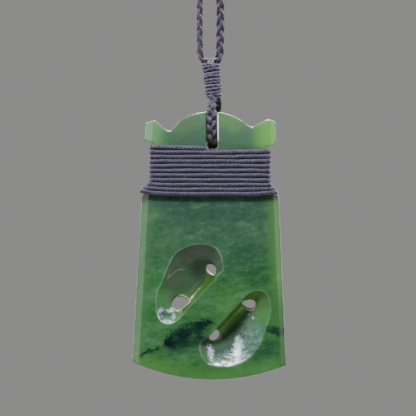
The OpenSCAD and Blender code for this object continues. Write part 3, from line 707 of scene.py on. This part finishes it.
def laid_thread(name, runs, radius, lay, plies=3, around=12, groove=0.2, core=()):
    """Thread along runs of points. Its plies are ridges that wind round it once in each lay."""
    corners, faces, unrolled = [], [], []
    for run, r_run in [(run, radius) for run in runs] + list(core):
        first = len(corners)
        across, gone, lengths = None, 0, []
        for i, place in enumerate(run):
            ahead = (run[min(i + 1, len(run) - 1)] - run[max(i - 1, 0)]).normalized()
            across = ahead.orthogonal() if across is None else across - ahead * across.dot(ahead)
            across.normalize()
            side = ahead.cross(across)
            gone += (place - run[i - 1]).length / mm if i else 0
            lengths.append(gone)
            for k in range(around):
                a = 2 * pi * k / around
                r = r_run * mm * (1 - groove + groove * abs(cos(plies * a / 2)) ** 0.7)
                a += 2 * pi * gone / lay
                corners.append(place + across * (r * cos(a)) + side * (r * sin(a)))
        for i in range(len(run) - 1):
            for k in range(around):
                low, high = first + i * around, first + (i + 1) * around
                l = (k + 1) % around
                faces.append((low + k, low + l, high + l, high + k))
                unrolled += [(u, lengths[i + v]) for u, v in
                             ((k / around, 0), ((k + 1) / around, 0), ((k + 1) / around, 1), (k / around, 1))]
        faces += [tuple(first + k for k in reversed(range(around))),
                  tuple(first + (len(run) - 1) * around + k for k in range(around))]
        unrolled += [(0, 0)] * around + [(0, gone)] * around
    mesh = bpy.data.meshes.new(name)
    mesh.from_pydata(corners, [], faces)
    layer = mesh.uv_layers.new(name="unrolled")
    layer.data.foreach_set("uv", [c for uv in unrolled for c in uv])
    mesh.shade_smooth()
    thread = bpy.data.objects.new(name, mesh)
    bpy.context.collection.objects.link(thread)
    return thread


# What all the cords share: plies with painted shade in the groove between them, and fine fibres along them
laid_fibres = bpy.data.node_groups.new("laid_fibres", "ShaderNodeTree")
for name, kind, way in (("Unrolled", "Vector", "INPUT"), ("Plies", "Float", "INPUT"), ("Thread", "Color", "INPUT"),
                        ("Pale fibres and glints", "Color", "INPUT"), ("Color", "Color", "OUTPUT"),
                        ("Roughness", "Float", "OUTPUT"), ("Height", "Float", "OUTPUT")):
    laid_fibres.interface.new_socket(name=name, in_out=way, socket_type="NodeSocket" + kind)
given = laid_fibres.nodes.new("NodeGroupInput").outputs
made = laid_fibres.nodes.new("NodeGroupOutput").inputs
split = laid_fibres.nodes.new("ShaderNodeSeparateXYZ")
laid_fibres.links.new(given["Unrolled"], split.inputs[0])
u, v = split.outputs[0], split.outputs[1]
ply = calc(laid_fibres, "ABSOLUTE", calc(laid_fibres, "COSINE", calc(laid_fibres, "MULTIPLY", calc(
    laid_fibres, "MULTIPLY", u, given["Plies"]), pi)))
slanted = put(laid_fibres, "ShaderNodeCombineXYZ", {
    0: calc(laid_fibres, "ADD", calc(laid_fibres, "MULTIPLY", u, 13), calc(laid_fibres, "MULTIPLY", v, 1.4)),
    1: calc(laid_fibres, "MULTIPLY", v, 1.9), 2: 0.0})
hair = noise(laid_fibres, slanted, 1, 4, 0.75, 0.5)
patches = noise(laid_fibres, put(laid_fibres, "ShaderNodeCombineXYZ", {
    0: calc(laid_fibres, "MULTIPLY", u, 2), 1: calc(laid_fibres, "MULTIPLY", v, 0.35), 2: 7.0}), 1, 2, 0.5)
# Painted shade in the grooves between the plies
tone = blend(laid_fibres, ease(laid_fibres, ply, 0.7, 0.1, 0, 0.65), given["Thread"], (0.008, 0.006, 0.011))
tone = blend(laid_fibres, ease(laid_fibres, hair, 0.5, 0.36, 0, 0.8), tone, (0.008, 0.007, 0.014))
# Paler fibres in fine slanting streaks and in patches, which also paint the glints along the thread
tone = blend(laid_fibres, ease(laid_fibres, hair, 0.51, 0.62, 0, 1), tone, given["Pale fibres and glints"])
tone = blend(laid_fibres, ease(laid_fibres, patches, 0.5, 0.7, 0, 0.35), tone, given["Pale fibres and glints"])
laid_fibres.links.new(tone, made["Color"])
laid_fibres.links.new(ease(laid_fibres, patches, 0.3, 0.7, 0.5, 0.75), made["Roughness"])
laid_fibres.links.new(calc(laid_fibres, "ADD", calc(laid_fibres, "MULTIPLY", hair, 0.12),
                           calc(laid_fibres, "MULTIPLY", ply, 0.05)), made["Height"])


def thread_finish(name, plies, thread, pale_fibres_and_glints):
    """A cord's material: dyed fibre, waxed so that it has a dull sheen."""
    finish = bpy.data.materials.new(name)
    finish.use_nodes = True
    tree = finish.node_tree
    fibres = tree.nodes.new("ShaderNodeGroup")
    fibres.node_tree = laid_fibres
    unrolled = tree.nodes.new("ShaderNodeUVMap")
    unrolled.uv_map = "unrolled"
    tree.links.new(unrolled.outputs[0], fibres.inputs["Unrolled"])
    fibres.inputs["Plies"].default_value = plies
    fibres.inputs["Thread"].default_value = (*thread, 1)
    fibres.inputs["Pale fibres and glints"].default_value = (*pale_fibres_and_glints, 1)
    shader = tree.nodes["Principled BSDF"]
    tree.links.new(fibres.outputs["Color"], shader.inputs["Base Color"])
    tree.links.new(fibres.outputs["Roughness"], shader.inputs["Roughness"])
    bump = put(tree, "ShaderNodeBump", {"Strength": 1.0, "Distance": mm, "Height": fibres.outputs["Height"]})
    tree.links.new(bump, shader.inputs["Normal"])
    shader.inputs["IOR"].default_value = 1.46
    shader.inputs["Sheen Weight"].default_value = 0.3
    shader.inputs["Sheen Roughness"].default_value = 0.45
    shader.inputs["Sheen Tint"].default_value = (0.9, 0.72, 0.95, 1)
    return finish


waxed_thread = thread_finish("waxed_thread", 3, (0.0085, 0.0075, 0.024), (0.042, 0.039, 0.094))
thread_r = 0.64
lash_off = 0.63
neck_half = 14
# Each turn's height at the left, in the middle and at the right of the face, and how far out of the
# neck it lies at each end, from the lowest turn up
turns = [
    (47.35, 46.62, 47.0, 2.4, 1.7), (48.1, 47.72, 47.85, 1.6, 1.05), (49.05, 48.85, 48.85, 0.5, 0.35),
    (50.12, 50.05, 50.0, 0, 0), (51.25, 51.25, 51.2, 0, 0), (52.4, 52.42, 52.38, 0, 0),
    (53.56, 53.62, 53.58, 0, 0), (54.72, 54.76, 54.8, 0, 0), (55.9, 55.86, 56.02, 0, 0),
    (57.1, 57.0, 57.28, 0, 0), (58.32, 58.05, 57.6, 0, 0)]


def lean_y(z):
    return back_y - 1.5 * (z - 14) / 53.25


def bend(x, y, z, start, end):
    return [spot(x + lash_off * cos(radians(a)), y + lash_off * sin(radians(a)), z)
            for a in range(start, end + 1, 15)]


lash_run = [spot(-10, lean_y(46.6) + lash_off, 46.6)]
for k, (left_z, middle_z, right_z, left_out, right_out) in enumerate(turns):
    last = k == len(turns) - 1
    left_x, right_x = -neck_half - left_out, neck_half + right_out
    lash_run += bend(left_x, lean_y(left_z), left_z, 90, 180) + bend(left_x, front_y, left_z, 180, 270)
    for i in range(1, 14 if last else 30):
        t = i / 30
        x = left_x + (right_x - left_x) * t
        side = abs(2 * t - 1) ** (3 if k > 6 else 6)
        z = middle_z + ((left_z if t < 0.5 else right_z) - middle_z) * side
        lash_run.append(spot(x, front_y - lash_off, z + 0.05 * sin(0.5 * x + 1.9 * k) + 0.03 * sin(1.9 * x + 2.3 * k)))
    if last:
        lash_run += [spot(-1.6, front_y - 0.5, 57.8), spot(-0.9, front_y - 0.1, 57.5), spot(-0.3, front_y - 0.1, 57.2)]
        break
    lash_run += bend(right_x, front_y, right_z, 270, 360) + bend(right_x, lean_y(right_z), right_z, 0, 90)
    next_z, next_x = turns[k + 1][0], -neck_half - turns[k + 1][3]
    for i in range(1, 30):
        t = i / 30
        rise = min(1, max(0, (t - 0.35) / 0.6))
        z = right_z + (next_z - right_z) * rise * rise * (3 - 2 * rise)
        lash_run.append(spot(right_x + (next_x - right_x) * t, lean_y(z) + lash_off, z))
lashing = laid_thread("waxed_lashing", [evenly(lash_run, 0.22 * mm)], thread_r, 3.1, groove=0.17)
lashing.data.materials.append(waxed_thread)
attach(lashing, "root")
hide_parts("lashing")


# The bail: three bundles of the same thread in a flat plait, down the groove in front, through
# the drilled hole and up behind.
def plait(route, width, thick, strand_r, period, roll):
    """The runs of three strands that cross over each other along a route of close points."""
    runs = [[], [], []]
    gone = 0
    for i, place in enumerate(route):
        gone += (place - route[i - 1]).length if i else 0
        ahead = (route[min(i + 1, len(route) - 1)] - route[max(i - 1, 0)]).normalized()
        broad = roll(i / (len(route) - 1))
        broad = (broad - ahead * broad.dot(ahead)).normalized()
        proud = broad.cross(ahead)
        for k in range(3):
            a = 2 * pi * (gone / (period * mm) + k / 3)
            runs[k].append(place + broad * (sin(a) * (width(i / (len(route) - 1)) / 2 - strand_r) * mm)
                           + proud * (sin(2 * a) * (thick / 2 - strand_r) * mm))
    return runs


front_leg = front_y + 1 - 0.1 - 1.05
back_leg = 1.22 + 0.1 + 1.05
bail_way = [(0.85, -0.9, 72.2), (0.72, -1.1, 71), (0.7, -1.5, 69.7), (0.55, -2.5, 68.8), (0.4, -3.4, 68),
            (0.35, front_leg, 67.2), (0.37, front_leg, 66), (0.45, front_leg, 64.2), (0.55, front_leg, 62.3)]
bail_way += [(0.6, front_leg + 1.6 * (1 + cos(radians(a))), 59 + 1.6 * (1 - sin(radians(a))))
             for a in (180, 150, 120, 90)]
bail_way += [(0.6 + 0.19 * (1 - sin(radians(a))), back_leg - 1.6 * (1 - cos(radians(a))),
              59 + 1.6 * (1 - sin(radians(a)))) for a in (90, 60, 30, 0)]
bail_way += [(1, back_leg, 62.3), (1.22, back_leg, 64.2), (1.44, back_leg, 66), (1.6, back_leg, 67.4),
             (1.75, 2.15, 68.2), (1.85, 1.6, 69.1), (1.85, 1.25, 69.8), (1.75, 1.05, 71), (1.6, 0.95, 72.2)]
bail_route = evenly([spot(*p) for p in smooth(bail_way, steps=8)], 0.2 * mm)


def bail_width(t):
    """Pulled in where the sleeve binds it, at both ends."""
    return 1.95 + 0.6 * min(1, max(0, (min(t, 1 - t) - 0.07) / 0.1))


bail = laid_thread("plaited_bail", plait(bail_route, bail_width, 2.1, 0.62, 6.9, lambda t: Vector((1, 0, 0))),
                   0.68, 11, plies=5, around=20, groove=0.16)
plaited_cord = thread_finish("plaited_cord", 4, (0.005, 0.0033, 0.01), (0.033, 0.024, 0.062))
# Painted shade: it is painted darker where it goes into the hole, and behind the stone
bail_finish = thread_finish("plaited_bail", 5, (0.0044, 0.0034, 0.012), (0.062, 0.052, 0.12))
tree = bail_finish.node_tree
shader = tree.nodes["Principled BSDF"]
dyed = shader.inputs["Base Color"].links[0].from_socket
place = tree.nodes.new("ShaderNodeSeparateXYZ")
tree.links.new(put(tree, "ShaderNodeMapping", {"Vector": tree.nodes.new("ShaderNodeTexCoord").outputs["Object"],
                                               "Location": (0, 0, hang), "Scale": (1000, 1000, 1000)}), place.inputs[0])
painted_shade = calc(tree, "MAXIMUM", ease(tree, place.outputs[2], 64, 61, 0, 0.97), ease(tree, place.outputs[1], -0.5, 1, 0, 0.95))
tree.links.new(blend(tree, painted_shade, dyed, (0.002, 0.0018, 0.003)), shader.inputs["Base Color"])
shader.inputs["Sheen Weight"].default_value = 0.08
bail.data.materials.append(bail_finish)
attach(bail, "root")
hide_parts("bail_braid")


# The sleeve: thinner thread whipped round the bail and both neck cords to bind them, with its two cut
# ends left standing between the cords.
sleeve_low, sleeve_top = spot(1, 0, 70.8), spot(0.25, 0, 79.2)
sleeve_up = (sleeve_top - sleeve_low).normalized()
sleeve_right = Vector((0, 1, 0)).cross(sleeve_up)
whip_run = []
whip_turns = 11
for i in range(whip_turns * 36 + 1):
    t = i / (whip_turns * 36)
    turn = 2 * pi * whip_turns * t
    r = (1.66 + 0.25 * t + 0.06 * sin(turn * 0.31 + 1) + 0.04 * sin(turn * 0.77) - 0.5 * max(0, 0.12 - t) / 0.12) * mm
    rise = -0.3 + 8.9 * t + 0.05 * sin(turn * 0.23 + 1) + 0.04 * sin(turn * 0.61) + 0.12 * sin(turn + 3 * sin(0.45 * turn))
    whip_run.append(sleeve_low + sleeve_up * (rise * mm) + sleeve_right * (r * sin(turn))
                    + Vector((0, -1, 0)) * (r * cos(turn)))
bundle = [sleeve_low.lerp(sleeve_top, 0.02 + 1.0 * i / 40) for i in range(41)]
sleeve = laid_thread("whipped_sleeve", [evenly(whip_run, 0.2 * mm)], 0.45, 3.4, groove=0.1, core=[(bundle, 1.7)])
whipping = thread_finish("whipping_thread", 3, (0.016, 0.014, 0.038), (0.074, 0.067, 0.13))
sleeve.data.materials.append(whipping)
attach(sleeve, "root")
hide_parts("sleeve")

cut_ends = []
for across, lean in ((-0.35, -14), (0.25, 16)):
    foot = sleeve_low + sleeve_up * (8.1 * mm) + sleeve_right * (across * mm) + Vector((0, -1.15 * mm, 0))
    way = sleeve_up * cos(radians(lean)) + sleeve_right * sin(radians(lean))
    cut_ends.append([foot + way * (0.3 * i * mm) for i in range(6)])
    for k in range(9):
        a = 2 * pi * k / 9 + lean
        out_way = sleeve_right * cos(a) + Vector((0, -1, 0)) * sin(a)
        cut_ends.append([foot + way * ((1.1 + 0.16 * i) * mm) + out_way * ((0.12 + 0.045 * i * i * (1 + k % 3) / 3) * mm)
                         for i in range(5)])
frayed_ends = laid_thread("cut_thread_ends", cut_ends[::10], 0.36, 2, groove=0.1)
frayed_tips = laid_thread("frayed_tips", [run for i, run in enumerate(cut_ends) if i % 10], 0.12, 9, 1, 5, 0)
dry_thread = thread_finish("dry_thread", 3, (0.2, 0.16, 0.14), (0.5, 0.42, 0.36))
for end in (frayed_ends, frayed_tips):
    end.data.materials.append(dry_thread)
    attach(end, "root")


# The neck cord: three strands in a plait, one loop of 0.6 m that goes over the head. It is bound in
# the sleeve at both ends, and is modelled in two halves that meet at its top.
loop_side = [(2.6, 90), (2.6, 97), (3.2, 104), (6.7, 114.5), (14.8, 132.5), (23.5, 152), (32.4, 172), (41.3, 192),
             (50.2, 212), (58, 229.5), (63.5, 243), (66.5, 256), (66.7, 270), (63.6, 285), (57, 299),
             (47.5, 311.3), (35, 321.1), (21, 327.6), (10, 330.3)]
foot_left = [(-0.75, 76.8), (-0.85, 78.2), (-1.1, 79.35), (-1.5, 80), (-2.25, 81.2), (-2.5, 83.5)]
foot_right = [(1.15, 76.8), (1.25, 78.2), (1.45, 79.5), (1.7, 80.1), (2.3, 81.2), (2.5, 83.5)]
loop = foot_left + [(-x, z) for x, z in loop_side] + [(0, 331)] + loop_side[::-1] + foot_right[::-1]
loop = evenly([spot(x, 0, z) for x, z in smooth(loop, steps=24)], 0.4 * mm)


def loop_roll(t):
    """The plait's broad side: towards the camera at its right foot, and turned edge-on at its left."""
    place = loop[round(t * (len(loop) - 1))]
    ahead = (loop[min(round(t * (len(loop) - 1)) + 1, len(loop) - 1)]
             - loop[max(round(t * (len(loop) - 1)) - 1, 0)]).normalized()
    flat = Vector((0, 1, 0)).cross(ahead)
    turned = radians(90) * max(0, min(1, (0.7 - t) / 0.5))
    return flat * cos(turned) + Vector((0, 1, 0)) * sin(turned)


strands = plait(loop, lambda t: 2.1, 1.65, 0.5, 8.4, loop_roll)
half = len(loop) // 2
for name, node, runs in (("neck_cord_left_plait", "neck_cord_left", [run[:half + 1] for run in strands]),
                         ("neck_cord_right_plait", "neck_cord_right", [run[half:][::-1] for run in strands])):
    cord = laid_thread(name, runs, 0.52, 6, plies=4, around=12, groove=0.12)
    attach(cord, "root")
    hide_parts(node)
    cord.data.materials.append(plaited_cord)

# Stray fibres: thread that has been worn is never quite smooth, so fine hairs stand off it.
chance = Random(5)
hairs = []
for run, off, count in ((whip_run, 0.4, 26), (bail_route[:60], 1.2, 24), (loop[40:240], 0.95, 30),
                        (loop[-240:-40], 0.95, 30), (lash_run, 0.55, 40)):
    for _ in range(count):
        at = run[chance.randrange(len(run))]
        a = chance.uniform(0, 2 * pi)
        out_way = Vector((cos(a), -abs(sin(a)), chance.uniform(-0.6, 0.6))).normalized()
        curl = Vector((chance.uniform(-1, 1), chance.uniform(-1, 0.2), chance.uniform(-1, 1))) * 0.35
        size = chance.uniform(0.25, 0.75)
        hairs.append([at + (out_way * (off * 0.8 + size * t) + curl * (size * t * t)) * mm
                      for t in (0, 0.3, 0.6, 1)])
stray = laid_thread("stray_fibres", hairs, 0.022, 9, 1, 3, 0)
stray.data.materials.append(dry_thread)
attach(stray, "root")
